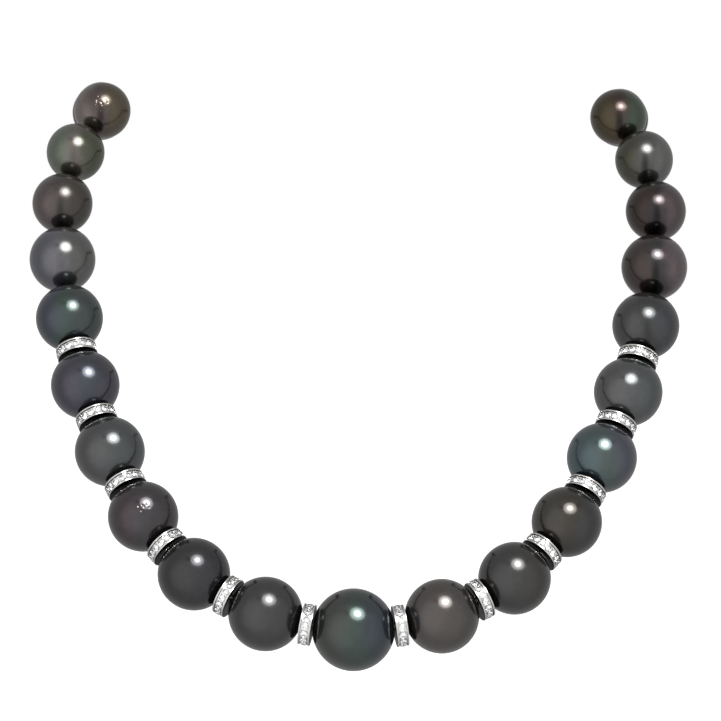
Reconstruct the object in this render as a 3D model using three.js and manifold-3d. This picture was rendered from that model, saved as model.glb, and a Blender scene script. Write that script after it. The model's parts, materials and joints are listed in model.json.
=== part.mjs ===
// A graduated strand of dark pearls with jewelled rondelles and a ball clasp, worn open on a neck.
// Millimetres, +X to the wearer's left, +Y towards the back of the neck, +Z up.
// The origin is the middle of the neck, level with the two shoulder pearls.
import * as THREE from 'three';
import { mergeVertices } from 'three/addons/utils/BufferGeometryUtils.js';
import Module from 'manifold-3d';

const wasm = await Module();
wasm.setup();
const { degToRad } = THREE.MathUtils;

// ---- The strand ----
// Pearl diameters, from the centre pearl outwards to the last one beside the clasp.
const pearlDiameters = [
  15.5, 14.0, 13.7, 13.4, 13.4, 13.2, 13.0, 12.8, 11.8,
  11.4, 11.2, 11.1, 11.0, 11.0, 10.9, 10.8, 10.7, 10.6,
];
const shoulderPearl = 10; // the last pearl of the front drape; the next ones run straight back
const knotGap = 0.35; // surface to surface, filled by a silk knot
const frontPearlFineness = 3; // subdivisions of a faceted ball
const backPearlFineness = 2;
const facetAllowance = 1.008; // a faceted ball this much larger holds the round ball's volume

// The front drape lies in one sloping plane and is made of three arcs, from the centre pearl up.
const drapeSlope = degToRad(57);
const drapeArcs = [
  { radius: 46, sweep: degToRad(61) },
  { radius: 142, sweep: degToRad(27) },
  { radius: 48, sweep: degToRad(60) },
];
// The back runs lead away from the shoulder pearls, almost straight back.
const backSplay = degToRad(2.75);
const shoulderLean = degToRad(7); // how much further back the drape's last step leans
const firstStepOutward = 0.45;
const firstStepDown = 0.6;

// ---- The rondelles, one on each side of pearls 1 to 6 towards the centre ----
const rondelleCount = 6;
const rondelleSeat = 2.0; // pearl pole to pearl pole through a rondelle
const rondelleRadius = 3.9;
const rondelleHalfWidth = 1.1;
const rondelleBoreRadius = 1.2;
const rondelleBoreHalfWidth = 0.8;
const rondelleDishRadius = 3.0;
const rondelleFacets = 16;
const rondelleDrop = 0.6; // how far a rondelle hangs below the silk where the strand is level

// ---- The silk and the wire loops at its ends ----
const silkRadius = 0.25;
const drillRadius = 0.6;
const drillSides = 6;
const drillOverrun = 1;
const silkSteps = 60;
const silkHalfGap = 0.2; // half of the space between the two silks, inside the centre pearl
const loopRadius = 1.25; // to the middle of the wire
const loopWireRadius = 0.35;
const loopStandoff = 0.3; // from the last pearl to the wire loop
const silkEndGap = 0.3; // from the silk's end to the wire loop

// ---- The ball clasp; its own +X points into the ball and 0 is the ball's flat face ----
const ballRadius = 4.6;
const ballCavityRadius = 3.8;
const ballCentre = 3.9;
const ballWall = 0.8;
const slotHalfWidth = 1.9;
const slotHalfHeight = 0.95;
const thumbNotchHalfWidth = 0.8;
const eyeletRadius = 1.25;
const eyeletWireRadius = 0.45;
const ballEyeletAt = 9.65;
const capFront = -0.3;
const capBack = -2.3;
const capRadius = 2.7;
const capPocketBack = -1.75;
const capPocketHalfWidth = 1.1;
const capPocketFloor = -0.1;
const capEyeletAt = -3.6;
const leafThickness = 0.4;
const leafHalfWidth = 1.55;
const lowerLeafTop = -0.35;
const leafTip = 6.4;
const leafShoulder = 1.1;
const leafNeckHalfWidth = 0.45;
const upperLeafStart = -0.05; // underside of the upper leaf at the fold
const upperLeafLift = degToRad(12.8);
const knobRadius = 0.7;
const knobHalfWidth = 0.3;
const knobAt = -0.8;
const knobHeight = 2.2;

// ---- Finishes ----
const nacre = { green: 0x4b524b, blue: 0x474e56, brown: 0x524c4a, grey: 0x525356 };
const centreTone = 'green';
const sideTones = {
  left: ['brown', 'brown', 'brown', 'blue', 'blue', 'blue', 'brown', 'brown', 'green', 'green',
    'grey', 'green', 'brown', 'grey', 'blue', 'green', 'grey'],
  right: ['grey', 'grey', 'brown', 'green', 'blue', 'blue', 'grey', 'brown', 'green', 'green',
    'grey', 'brown', 'green', 'blue', 'grey', 'brown', 'grey'],
};
const whiteGold = { color: 0xd9d9d6, roughness: 0.22, metalness: 1.0 };
const silkFinish = { color: 0x24262a, roughness: 0.85, metalness: 0.0 };

const group = new THREE.Group();

function nacreFinish(tone) {
  return { color: nacre[tone], roughness: 0.12, metalness: 0.3 };
}

function addMesh(name, geometry, finish, position = [0, 0, 0], quaternion = null) {
  const mesh = new THREE.Mesh(geometry, new THREE.MeshStandardMaterial(finish));
  mesh.name = name;
  mesh.position.set(...position);
  if (quaternion) mesh.quaternion.copy(quaternion);
  group.add(mesh);
  return mesh;
}

function solidOf(geometry) {
  const bare = geometry.clone();
  bare.deleteAttribute('normal');
  bare.deleteAttribute('uv');
  const merged = mergeVertices(bare, 1e-4);
  return new wasm.Manifold(new wasm.Mesh({
    numProp: 3,
    vertProperties: new Float32Array(merged.attributes.position.array),
    triVerts: new Uint32Array(merged.index.array),
  }));
}

function geometryOf(solid) {
  const { vertProperties, triVerts } = solid.getMesh();
  const geometry = new THREE.BufferGeometry();
  geometry.setAttribute('position', new THREE.BufferAttribute(vertProperties, 3));
  geometry.setIndex(new THREE.BufferAttribute(triVerts, 1));
  geometry.computeVertexNormals();
  return geometry;
}

// A block between two corners, as a solid for cutting.
function block(low, high) {
  const size = high.map((top, i) => top - low[i]);
  const middle = high.map((top, i) => (top + low[i]) / 2);
  return solidOf(new THREE.BoxGeometry(...size).translate(...middle));
}

// A wire ring around the Y axis.
function wireRing(radius, wireRadius, turns = 14, sides = 6) {
  const profile = [];
  for (let i = 0; i <= sides; i += 1) {
    const angle = (i % sides) / sides * 2 * Math.PI;
    profile.push(new THREE.Vector2(radius + wireRadius * Math.cos(angle), wireRadius * Math.sin(angle)));
  }
  return new THREE.LatheGeometry(profile, turns);
}

// The point of the front drape at a distance along it from the centre pearl, on the +X side.
function drapePoint(distance) {
  let left = distance;
  let heading = 0;
  let across = 0;
  let up = 0;
  for (const { radius, sweep } of drapeArcs) {
    const turn = Math.min(left / radius, sweep);
    across += radius * (Math.sin(heading + turn) - Math.sin(heading));
    up += radius * (Math.cos(heading) - Math.cos(heading + turn));
    heading += turn;
    left -= turn * radius;
  }
  return new THREE.Vector3(across, up * Math.cos(drapeSlope), up * Math.sin(drapeSlope));
}

// The distance along the drape whose point is a given length away from a pearl's centre.
function nextAlongDrape(centre, from, length) {
  let near = from;
  let far = from + 2 * length;
  for (let i = 0; i < 50; i += 1) {
    const middle = (near + far) / 2;
    if (drapePoint(middle).distanceTo(centre) < length) near = middle;
    else far = middle;
  }
  return near;
}

function centreSpacing(inner, outer) {
  const gap = outer <= rondelleCount ? rondelleSeat : knotGap;
  return (pearlDiameters[inner] + pearlDiameters[outer]) / 2 + gap;
}

// Centres of the +X half of the strand, moved so that the shoulder pearls are level with the origin.
function pearlCentres() {
  const centres = [drapePoint(0)];
  let along = 0;
  for (let i = 1; i <= shoulderPearl; i += 1) {
    along = nextAlongDrape(centres[i - 1], along, centreSpacing(i - 1, i));
    centres.push(drapePoint(along));
  }
  const lastStep = centres.pop().sub(centres[shoulderPearl - 1]);
  lastStep.applyAxisAngle(new THREE.Vector3(1, 0, 0), -shoulderLean);
  centres.push(lastStep.add(centres[shoulderPearl - 1]));
  const shoulder = centres[shoulderPearl];
  const lift = new THREE.Vector3(0, -shoulder.y, -shoulder.z);
  centres.forEach((centre) => centre.add(lift));
  const back = new THREE.Vector3(Math.sin(backSplay), Math.cos(backSplay), 0);
  for (let i = shoulderPearl + 1; i < pearlDiameters.length; i += 1) {
    const step = back.clone().multiplyScalar(centreSpacing(i - 1, i));
    if (i === shoulderPearl + 1) {
      const length = step.length();
      step.add(new THREE.Vector3(firstStepOutward, 0, -firstStepDown)).setLength(length);
    }
    centres.push(centres[i - 1].clone().add(step));
  }
  return centres;
}

const centres = pearlCentres();
const lastPearl = centres.length - 1;
const runBack = centres[lastPearl].clone().sub(centres[lastPearl - 1]).normalize();
const lastPole = centres[lastPearl].clone().addScaledVector(runBack, pearlDiameters[lastPearl] / 2);
const loopCentre = lastPole.clone().addScaledVector(runBack, loopStandoff + loopWireRadius + loopRadius);
const eyeletCentre = loopCentre.clone().addScaledVector(runBack, loopRadius);

// The middle of the space between two neighbouring pearls.
function contactPoint(i) {
  const step = centres[i + 1].clone().sub(centres[i]);
  const room = centreSpacing(i, i + 1) - (pearlDiameters[i] + pearlDiameters[i + 1]) / 2;
  return centres[i].clone().add(step.setLength(pearlDiameters[i] / 2 + room / 2));
}

// The silk's run from inside the centre pearl to the wire loop, on the +X side, and on past its end.
function silkPath(overrun) {
  const points = [new THREE.Vector3(silkHalfGap, centres[0].y, centres[0].z)];
  for (let i = 0; i < lastPearl; i += 1) {
    points.push(contactPoint(i));
    points.push(centres[i + 1]);
  }
  points.push(lastPole.clone().addScaledVector(runBack, loopStandoff - silkEndGap + overrun));
  return new THREE.CatmullRomCurve3(points);
}

function tubeAlong(path, radius, steps, sides = 8) {
  const section = new THREE.Shape();
  for (let i = 0; i < sides; i += 1) {
    const angle = i / sides * 2 * Math.PI;
    if (i === 0) section.moveTo(radius, 0);
    else section.lineTo(radius * Math.cos(angle), radius * Math.sin(angle));
  }
  return new THREE.ExtrudeGeometry(section, { steps, extrudePath: path, bevelEnabled: false });
}

// The same geometry on the other side of the YZ plane, with its faces still facing out.
function mirrored(geometry) {
  return geometryOf(solidOf(geometry).mirror([1, 0, 0]));
}

const silk = tubeAlong(silkPath(0), silkRadius, silkSteps);
const drill = solidOf(tubeAlong(silkPath(drillOverrun), drillRadius, silkSteps, drillSides));
const bothDrills = drill.add(drill.mirror([1, 0, 0]))
  .add(block([-2, centres[0].y - drillRadius, centres[0].z - drillRadius],
    [2, centres[0].y + drillRadius, centres[0].z + drillRadius]));

// A pearl at its own place on one side (side is 1 or -1), drilled along the silk's run.
function pearl(i, side) {
  const centre = centres[i].clone().multiply(new THREE.Vector3(side, 1, 1));
  const fineness = i > shoulderPearl ? backPearlFineness : frontPearlFineness;
  const ball = solidOf(new THREE.IcosahedronGeometry(pearlDiameters[i] / 2 * facetAllowance, fineness));
  const drilled = ball.translate(centre.toArray()).subtract(bothDrills);
  const place = centre.toArray();
  return { geometry: geometryOf(drilled.translate(place.map((x) => -x))), place };
}

function rondelle() {
  const outline = [
    [rondelleBoreRadius, -rondelleBoreHalfWidth],
    [rondelleDishRadius, -rondelleHalfWidth],
    [rondelleRadius, -rondelleHalfWidth],
    [rondelleRadius, rondelleHalfWidth],
    [rondelleDishRadius, rondelleHalfWidth],
    [rondelleBoreRadius, rondelleBoreHalfWidth],
    [rondelleBoreRadius, -rondelleBoreHalfWidth],
  ];
  return new THREE.LatheGeometry(outline.map(([r, h]) => new THREE.Vector2(r, h)), rondelleFacets);
}

function addSide(name, side) {
  const flip = new THREE.Vector3(side, 1, 1);
  for (let i = 1; i <= lastPearl; i += 1) {
    const { geometry, place } = pearl(i, side);
    addMesh(`${name}_pearl_${i}`, geometry, nacreFinish(sideTones[name][i - 1]), place);
  }
  for (let i = 1; i <= rondelleCount; i += 1) {
    const axis = centres[i].clone().sub(centres[i - 1]).multiply(flip).normalize();
    const turn = new THREE.Quaternion().setFromUnitVectors(new THREE.Vector3(0, 1, 0), axis);
    const drop = new THREE.Vector3(0, 0, -rondelleDrop).projectOnPlane(axis);
    const place = contactPoint(i - 1).multiply(flip).add(drop).toArray();
    addMesh(`${name}_rondelle_${i}`, rondelle(), whiteGold, place, turn);
  }
  addMesh(`${name}_silk`, side > 0 ? silk : mirrored(silk), silkFinish);
  const ring = wireRing(loopRadius, loopWireRadius).rotateX(Math.PI / 2);
  addMesh(`${name}_wire_loop`, ring, whiteGold, loopCentre.clone().multiply(flip).toArray());
}

// The wire loop lies flat and the eyelet stands upright, so that each passes through the other.
function eyelet(at) {
  return solidOf(wireRing(eyeletRadius, eyeletWireRadius).translate(at, 0, 0));
}

function claspBall() {
  const outside = solidOf(new THREE.IcosahedronGeometry(ballRadius, 3).translate(ballCentre, 0, 0));
  const far = 2 * ballRadius + ballCentre;
  const body = outside.intersect(block([0, -far, -far], [far, far, far]));
  const inside = solidOf(new THREE.IcosahedronGeometry(ballCavityRadius, 2).translate(ballCentre, 0, 0));
  const cavity = inside.intersect(block([ballWall, -far, -far], [far, far, far]));
  const slot = block([-1, -slotHalfWidth, -slotHalfHeight], [ballWall + 1, slotHalfWidth, slotHalfHeight]);
  const notch = block([-1, -thumbNotchHalfWidth, 0], [ballWall + 0.3, thumbNotchHalfWidth, far]);
  return geometryOf(body.subtract(cavity).subtract(slot).subtract(notch).add(eyelet(ballEyeletAt)));
}

// The cap that closes the ball's mouth, with the fixed lower leaf of the spring tongue.
function tongueBase() {
  const depth = capFront - capBack;
  const outline = [[0, 0], [capRadius, 0], [capRadius, depth * 0.45], [capRadius * 0.85, depth * 0.8],
    [capRadius * 0.5, depth], [0, depth]];
  const cap = solidOf(new THREE.LatheGeometry(outline.map(([r, h]) => new THREE.Vector2(r, h)), 24)
    .rotateZ(Math.PI / 2).translate(capFront, 0, 0));
  const pocket = block([capPocketBack, -capPocketHalfWidth, capPocketFloor],
    [0, capPocketHalfWidth, 2 * capRadius]);
  const leaf = block([capFront - 0.2, -leafHalfWidth, lowerLeafTop - leafThickness],
    [leafTip, leafHalfWidth, lowerLeafTop]);
  return geometryOf(cap.subtract(pocket).add(leaf).add(eyelet(capEyeletAt)));
}

// The upper leaf springs up from the fold at the tongue's tip and ends in a thumb knob.
function tongueLeaf() {
  const fold = leafTip - 0.1;
  const outline = new THREE.Shape([
    [fold, -leafHalfWidth],
    [fold, leafHalfWidth],
    [leafShoulder, leafHalfWidth],
    [leafShoulder, leafNeckHalfWidth],
    [knobAt - knobHalfWidth / 2, leafNeckHalfWidth],
    [knobAt - knobHalfWidth / 2, -leafNeckHalfWidth],
    [leafShoulder, -leafNeckHalfWidth],
    [leafShoulder, -leafHalfWidth],
  ].map(([x, y]) => new THREE.Vector2(x, y)));
  const plate = new THREE.ExtrudeGeometry(outline, { depth: leafThickness, bevelEnabled: false })
    .translate(-fold, 0, 0).rotateY(upperLeafLift).translate(fold, 0, upperLeafStart);
  const knob = new THREE.CylinderGeometry(knobRadius, knobRadius, 2 * knobHalfWidth, 16)
    .rotateZ(Math.PI / 2).translate(knobAt, 0, knobHeight);
  return geometryOf(solidOf(plate).add(solidOf(knob)));
}

// A clasp half hangs from its eyelet. Its own +X axis is turned to run along the strand.
function addClaspHalf(name, geometry, eyeletAt, inward, side) {
  const flip = new THREE.Vector3(side, 1, 1);
  const outward = runBack.clone().multiply(flip);
  const along = outward.clone().multiplyScalar(inward);
  const turn = new THREE.Quaternion().setFromAxisAngle(
    new THREE.Vector3(0, 0, 1), Math.atan2(along.y, along.x));
  const place = eyeletCentre.clone().multiply(flip).addScaledVector(along, -eyeletAt);
  addMesh(name, geometry, whiteGold, place.toArray(), turn);
}

const centrePearl = pearl(0, 1);
addMesh('centre_pearl', centrePearl.geometry, nacreFinish(centreTone), centrePearl.place);
addSide('left', 1);
addSide('right', -1);
addClaspHalf('clasp_ball', claspBall(), ballEyeletAt, -1, -1);
addClaspHalf('tongue_base', tongueBase(), capEyeletAt, 1, 1);
addClaspHalf('tongue_leaf', tongueLeaf(), capEyeletAt, 1, 1);

export default group;
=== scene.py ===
import json
import math

import bmesh
import bpy
import numpy as np
from mathutils import Matrix, Vector, noise


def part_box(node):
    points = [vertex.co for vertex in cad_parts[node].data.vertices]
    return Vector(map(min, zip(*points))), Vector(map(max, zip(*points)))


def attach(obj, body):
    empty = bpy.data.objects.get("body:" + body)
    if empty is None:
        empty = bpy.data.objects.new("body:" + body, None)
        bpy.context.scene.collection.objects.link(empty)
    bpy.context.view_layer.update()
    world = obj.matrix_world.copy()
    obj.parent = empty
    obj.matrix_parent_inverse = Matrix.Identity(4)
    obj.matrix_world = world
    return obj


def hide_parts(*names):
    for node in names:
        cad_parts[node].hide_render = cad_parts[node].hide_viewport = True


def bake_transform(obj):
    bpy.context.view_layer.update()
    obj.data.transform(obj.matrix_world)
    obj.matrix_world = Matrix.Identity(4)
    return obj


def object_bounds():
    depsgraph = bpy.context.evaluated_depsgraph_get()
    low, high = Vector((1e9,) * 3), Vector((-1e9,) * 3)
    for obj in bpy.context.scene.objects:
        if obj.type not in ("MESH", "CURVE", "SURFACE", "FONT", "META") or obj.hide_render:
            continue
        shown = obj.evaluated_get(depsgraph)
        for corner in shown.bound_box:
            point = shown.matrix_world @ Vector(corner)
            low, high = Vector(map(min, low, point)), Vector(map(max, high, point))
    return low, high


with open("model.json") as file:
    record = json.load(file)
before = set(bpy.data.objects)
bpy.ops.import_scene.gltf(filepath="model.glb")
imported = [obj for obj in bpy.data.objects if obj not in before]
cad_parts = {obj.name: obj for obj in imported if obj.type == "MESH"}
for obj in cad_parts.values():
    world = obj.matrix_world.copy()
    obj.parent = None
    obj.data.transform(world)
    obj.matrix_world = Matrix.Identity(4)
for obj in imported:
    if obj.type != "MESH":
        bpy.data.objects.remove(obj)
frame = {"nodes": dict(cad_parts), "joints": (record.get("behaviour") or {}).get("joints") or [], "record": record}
cad_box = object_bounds()

MM = 0.001
SIDES = ("left", "right")
LAST_PEARL = 17
RONDELLES = 6
FACET_ALLOWANCE = 1.008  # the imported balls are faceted, and this much larger than the round pearls
SLOTS = {row["node"]: row["material_slot"] for row in frame["record"]["subparts"]}
JOINTS = {joint["name"]: joint for joint in frame["joints"]}


# ---- Mesh helpers ----
def unit(v):
    v = np.asarray(v, float)
    return v / np.linalg.norm(v)


def cross_frame(axis):
    """Two unit vectors at right angles to an axis and to each other."""
    axis = unit(axis)
    helper = np.array([0.0, 0.0, 1.0]) if abs(axis[2]) < 0.9 else np.array([0.0, 1.0, 0.0])
    first = unit(np.cross(helper, axis))
    return first, np.cross(axis, first)


def full_turn(count):
    """Evenly spaced angles once around."""
    return np.arange(count) / count * 2 * math.pi


def circle_about(axis, count):
    """Points of a circle of radius 1 around an axis."""
    e1, e2 = cross_frame(axis)
    angles = full_turn(count)
    return np.cos(angles)[:, None] * e1 + np.sin(angles)[:, None] * e2


def turned(points, axis, angle):
    """Points turned by one angle about an axis through the origin."""
    c, s = math.cos(angle), math.sin(angle)
    return points * c + np.cross(axis, points) * s + axis * (points @ axis)[..., None] * (1 - c)


def grid_faces(rows, columns, loop_rows=False):
    """Quads over a grid of rows that are closed rings. loop_rows joins the last row to the first."""
    faces = []
    for r in range(rows if loop_rows else rows - 1):
        a, b = r * columns, (r + 1) % rows * columns
        for c in range(columns):
            d = (c + 1) % columns
            faces.append((a + c, a + d, b + d, b + c))
    return faces


def capped_faces(rows, columns):
    """The faces of a grid of rings that is closed with a cap at each end."""
    ends = [tuple(range(columns))[::-1], tuple(range((rows - 1) * columns, rows * columns))]
    return grid_faces(rows, columns) + ends


class Build:
    """Collects shells of a mesh, each with its own material."""

    def __init__(self):
        self.points, self.faces, self.looks, self.count = [], [], [], 0

    def add(self, points, faces, look=0):
        points = np.asarray(points, float).reshape(-1, 3)
        self.points.append(points)
        self.faces += [tuple(self.count + i for i in face) for face in faces]
        self.looks += [look] * len(faces)
        self.count += len(points)

    def grid(self, rings, loop_rows=False, look=0):
        """A closed skin over rings of points. Open ends are closed with a cap each."""
        rings = np.asarray(rings, float)
        rows, columns = rings.shape[:2]
        self.add(rings, grid_faces(rows, columns, True) if loop_rows else capped_faces(rows, columns), look)

    def piece(self, name, materials, at=(0, 0, 0), smooth_angle=None):
        """The finished object, with its origin at a point. Edges above smooth_angle degrees stay sharp."""
        points = np.concatenate(self.points) - np.asarray(at, float)
        mesh = bpy.data.meshes.new(name)
        mesh.from_pydata(points.tolist(), [], self.faces)
        for material in materials:
            mesh.materials.append(material)
        mesh.polygons.foreach_set("material_index", self.looks)
        mesh.polygons.foreach_set("use_smooth", [True] * len(self.faces))
        mesh.update()
        fix_winding(mesh)
        if smooth_angle is not None:
            mesh.set_sharp_from_angle(angle=math.radians(smooth_angle))
        obj = bpy.data.objects.new(name, mesh)
        obj.location = Vector(at)
        bpy.context.scene.collection.objects.link(obj)
        return obj


def fix_winding(mesh):
    bm = bmesh.new()
    bm.from_mesh(mesh)
    bmesh.ops.recalc_face_normals(bm, faces=bm.faces)
    bm.to_mesh(mesh)
    bm.free()


def rings_along(path, section, twist=0.0, closed=False):
    """Rings of a section (n x 2) carried along a path (m x 3) without spin, plus a steady twist in all."""
    section = np.asarray(section, float)
    count = len(path)
    if closed:
        tangents = np.roll(path, -1, 0) - np.roll(path, 1, 0)
    else:
        tangents = np.gradient(path, axis=0)
    tangents /= np.linalg.norm(tangents, axis=1)[:, None]
    first, _ = cross_frame(tangents[0])
    firsts = [first]
    for i in range(1, count):
        first = unit(first - tangents[i] * (first @ tangents[i]))
        firsts.append(first)
    firsts = np.array(firsts)
    spin = np.linspace(0, twist, count)
    if closed:
        end = unit(firsts[-1] - tangents[0] * (firsts[-1] @ tangents[0]))
        slip = math.atan2(np.cross(end, firsts[0]) @ tangents[0], end @ firsts[0])
        spin = spin * (count - 1) / count + np.linspace(0, slip, count)
    seconds = np.cross(tangents, firsts)
    c, s = np.cos(spin)[:, None], np.sin(spin)[:, None]
    u, v = firsts * c + seconds * s, seconds * c - firsts * s
    return path[:, None] + section[None, :, :1] * u[:, None] + section[None, :, 1:] * v[:, None]


def round_section(radius, sides):
    angles = full_turn(sides)
    return np.stack([np.cos(angles), np.sin(angles)], 1) * radius


def turned_rings(profile, sides):
    """Rings about +X from (along, radius) pairs."""
    return np.array([[(x, r * math.cos(a), r * math.sin(a)) for a in full_turn(sides)] for x, r in profile])


# ---- Places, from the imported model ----
def ball_fit(node):
    """Centre and radius of a packed pearl, from the outermost of its corners."""
    points = np.array([v.co for v in frame["nodes"][node].data.vertices], float)
    low, high = (np.array(corner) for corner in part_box(node))
    far = np.linalg.norm(points - (low + high) / 2, axis=1)
    points = points[far > 0.9 * far.max()]  # without the corners of its bore
    equations = np.hstack([2 * points, np.ones((len(points), 1))])
    fit = np.linalg.lstsq(equations, (points ** 2).sum(1), rcond=None)[0]
    return fit[:3], math.sqrt(fit[3] + fit[:3] @ fit[:3]) / FACET_ALLOWANCE


# Centre and radius of the centre pearl (0) and of pearls 1 to 17 of each side.
strand = {}
for side in SIDES:
    strand[side] = [ball_fit("centre_pearl")]
    strand[side] += [ball_fit(f"{side}_pearl_{i}") for i in range(1, LAST_PEARL + 1)]


def knot_at(side, i):
    """The hinge point in the gap inside pearl i."""
    (near, near_radius), (far, far_radius) = strand[side][i - 1], strand[side][i]
    step = far - near
    room = np.linalg.norm(step) - near_radius - far_radius
    return near + unit(step) * (near_radius + room / 2)


def run_out(side):
    """The direction in which the strand leaves its last pearl."""
    return unit(strand[side][LAST_PEARL][0] - strand[side][LAST_PEARL - 1][0])


# ---- Materials ----
def new_material(name):
    material = bpy.data.materials.new(name)
    material.use_nodes = True
    tree = material.node_tree
    return material, tree, tree.nodes["Principled BSDF"]


def node(tree, kind, **values):
    """A new node, with values for its sockets or settings by name."""
    made = tree.nodes.new(kind)
    for key, value in values.items():
        if key in made.inputs:
            made.inputs[key].default_value = value
        else:
            setattr(made, key, value)
    return made


def noise_node(tree, vector, scale, detail=3.0, roughness=0.5, distortion=0.0):
    made = node(tree, "ShaderNodeTexNoise", Scale=scale, Detail=detail, Roughness=roughness,
                Distortion=distortion)
    tree.links.new(vector, made.inputs["Vector"])
    return made.outputs["Fac"]


def ramp(tree, factor, stops, smooth=False):
    """A colour ramp with (place, colour or grey) stops."""
    made = tree.nodes.new("ShaderNodeValToRGB")
    band = made.color_ramp
    band.interpolation = "EASE" if smooth else "LINEAR"
    while len(band.elements) < len(stops):
        band.elements.new(0.5)
    for element, (place, color) in zip(band.elements, stops):
        element.position = place
        if not hasattr(color, "__len__"):
            color = (color,) * 3
        element.color = (*color, 1)
    tree.links.new(factor, made.inputs["Fac"])
    return made.outputs["Color"]


def spread(tree, factor, low, high, start=0.3, end=0.7):
    """Maps a factor from start...end to low...high, and holds it there outside."""
    made = tree.nodes.new("ShaderNodeMapRange")
    made.inputs["From Min"].default_value = start
    made.inputs["From Max"].default_value = end
    made.inputs["To Min"].default_value = low
    made.inputs["To Max"].default_value = high
    tree.links.new(factor, made.inputs["Value"])
    return made.outputs["Result"]


def bump(tree, shader, height, strength, distance):
    made = node(tree, "ShaderNodeBump", Strength=strength, Distance=distance)
    tree.links.new(height, made.inputs["Height"])
    tree.links.new(made.outputs["Normal"], shader.inputs["Normal"])


def multiplied(tree, color, by, factor=1.0):
    """A colour times another, by a constant or linked factor."""
    made = node(tree, "ShaderNodeMix", data_type="RGBA", blend_type="MULTIPLY")
    for socket, value in (("Factor", factor), ("A", color), ("B", by)):
        if isinstance(value, bpy.types.NodeSocket):
            tree.links.new(value, made.inputs[socket])
        else:
            made.inputs[socket].default_value = value
    return made.outputs["Result"]


def math_node(tree, operation, a, b):
    """A sum, product or the like of two values, each a number or a socket."""
    made = node(tree, "ShaderNodeMath", operation=operation)
    for socket, value in zip(made.inputs, (a, b)):
        if isinstance(value, bpy.types.NodeSocket):
            tree.links.new(value, socket)
        else:
            socket.default_value = value
    return made.outputs[0]


def object_coordinates(tree, offset=(0, 0, 0), scale=(1, 1, 1)):
    coordinates = tree.nodes.new("ShaderNodeTexCoord")
    mapping = tree.nodes.new("ShaderNodeMapping")
    mapping.inputs["Location"].default_value = offset
    mapping.inputs["Scale"].default_value = scale
    tree.links.new(coordinates.outputs["Object"], mapping.inputs["Vector"])
    return mapping.outputs["Vector"]


OVERTONE_STOPS = (0.14, 0.5, 0.86)  # where the three tints lie on the way from -X to +X
PAINTED_STREAK_WIDTH, PAINTED_STREAK_HEIGHT = 0.17, 0.62  # half sizes of a painted streak of dark reflection, as shares of the radius
PAINTED_STREAK_SHIFT = (0.1, 0.0, 0.35)  # to -X and down, as shares of the painted streak's half sizes


def nacre(name, tints, lift, seed, radius, painted_streak, soft):
    """Dark nacre under a clear coat: a dark, nearly metallic surface whose overtones drift across the pearl, with
    painted reflection where its tints lift one side. lift is its brightness, painted_streak how much a painted
    dark reflection darkens the middle of its front, and soft blurs highlights."""
    material, tree, shader = new_material(name)
    vector = object_coordinates(tree, (seed * 0.37, seed * 0.61, seed * 0.23))
    place = tree.nodes.new("ShaderNodeSeparateXYZ")
    tree.links.new(object_coordinates(tree), place.inputs[0])
    across = spread(tree, place.outputs["X"], 0.0, 1.0, -0.7 * radius, 0.7 * radius)
    clouds = spread(tree, noise_node(tree, vector, 120, 2.5, 0.5, 0.5), -0.2, 0.2)
    stops = [(at, [lift * t for t in tint]) for at, tint in zip(OVERTONE_STOPS, tints)]
    # The overtone, with painted reflection where a tint lifts one side well above one.
    overtone_and_painted_reflection = ramp(tree, math_node(tree, "ADD", across, clouds), stops, smooth=True)
    mottle = ramp(tree, noise_node(tree, vector, 900, 4.0, 0.6), [(0.35, 0.92), (0.65, 1.06)])
    color = multiplied(tree, overtone_and_painted_reflection, mottle)
    # Painted reflection: a dark streak down the middle of the front, on the side that faces the camera.
    if painted_streak:
        scale = (1 / (PAINTED_STREAK_WIDTH * radius), 0.0, 1 / (PAINTED_STREAK_HEIGHT * radius))
        away = node(tree, "ShaderNodeVectorMath", operation="LENGTH")
        tree.links.new(object_coordinates(tree, PAINTED_STREAK_SHIFT, scale), away.inputs[0])
        inside = spread(tree, away.outputs["Value"], 1.0, 0.0, 0.3, 1.0)
        in_front = spread(tree, place.outputs["Y"], 1.0, 0.0, -0.5 * radius, -0.1 * radius)
        painted_streak_darkness = (1 - painted_streak, 1 - painted_streak, 1 - painted_streak, 1)
        color = multiplied(tree, color, painted_streak_darkness, math_node(tree, "MULTIPLY", inside, in_front))
    tree.links.new(color, shader.inputs["Base Color"])
    shader.inputs["Metallic"].default_value = 0.9
    rough = noise_node(tree, vector, 140, 3.0, 0.55)
    tree.links.new(spread(tree, rough, 0.16 + soft, 0.23 + soft), shader.inputs["Roughness"])
    shader.inputs["Coat Weight"].default_value = 0.45
    shader.inputs["Coat Roughness"].default_value = 0.08 + 0.5 * soft
    shader.inputs["Coat IOR"].default_value = 1.5
    bump(tree, shader, noise_node(tree, vector, 420, 2.0, 0.5), 0.05, 0.0001)
    return material


def polished_gold(name, base, rough, seed=0):
    """White gold with fine scuffs. rough is its least and most roughness."""
    material, tree, shader = new_material(name)
    vector = object_coordinates(tree, (seed, 0, 0))
    patches = noise_node(tree, vector, 500, 3.0, 0.5)
    stops = [(0.3, [0.93 * b for b in base]), (0.7, base)]
    tree.links.new(ramp(tree, patches, stops), shader.inputs["Base Color"])
    shader.inputs["Metallic"].default_value = 1.0
    scuffs = noise_node(tree, vector, 2600, 4.0, 0.65)
    tree.links.new(spread(tree, scuffs, *rough), shader.inputs["Roughness"])
    bump(tree, shader, scuffs, 0.12, 0.00002)
    return material


def brilliant_glass(name):
    material, tree, shader = new_material(name)
    tint = noise_node(tree, object_coordinates(tree), 700, 2.0)
    stops = [(0.3, (0.76, 0.78, 0.8)), (0.7, (0.86, 0.87, 0.88))]
    tree.links.new(ramp(tree, tint, stops), shader.inputs["Base Color"])
    shader.inputs["Roughness"].default_value = 0.02
    shader.inputs["IOR"].default_value = 2.2
    shader.inputs["Transmission Weight"].default_value = 1.0
    return material


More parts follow.
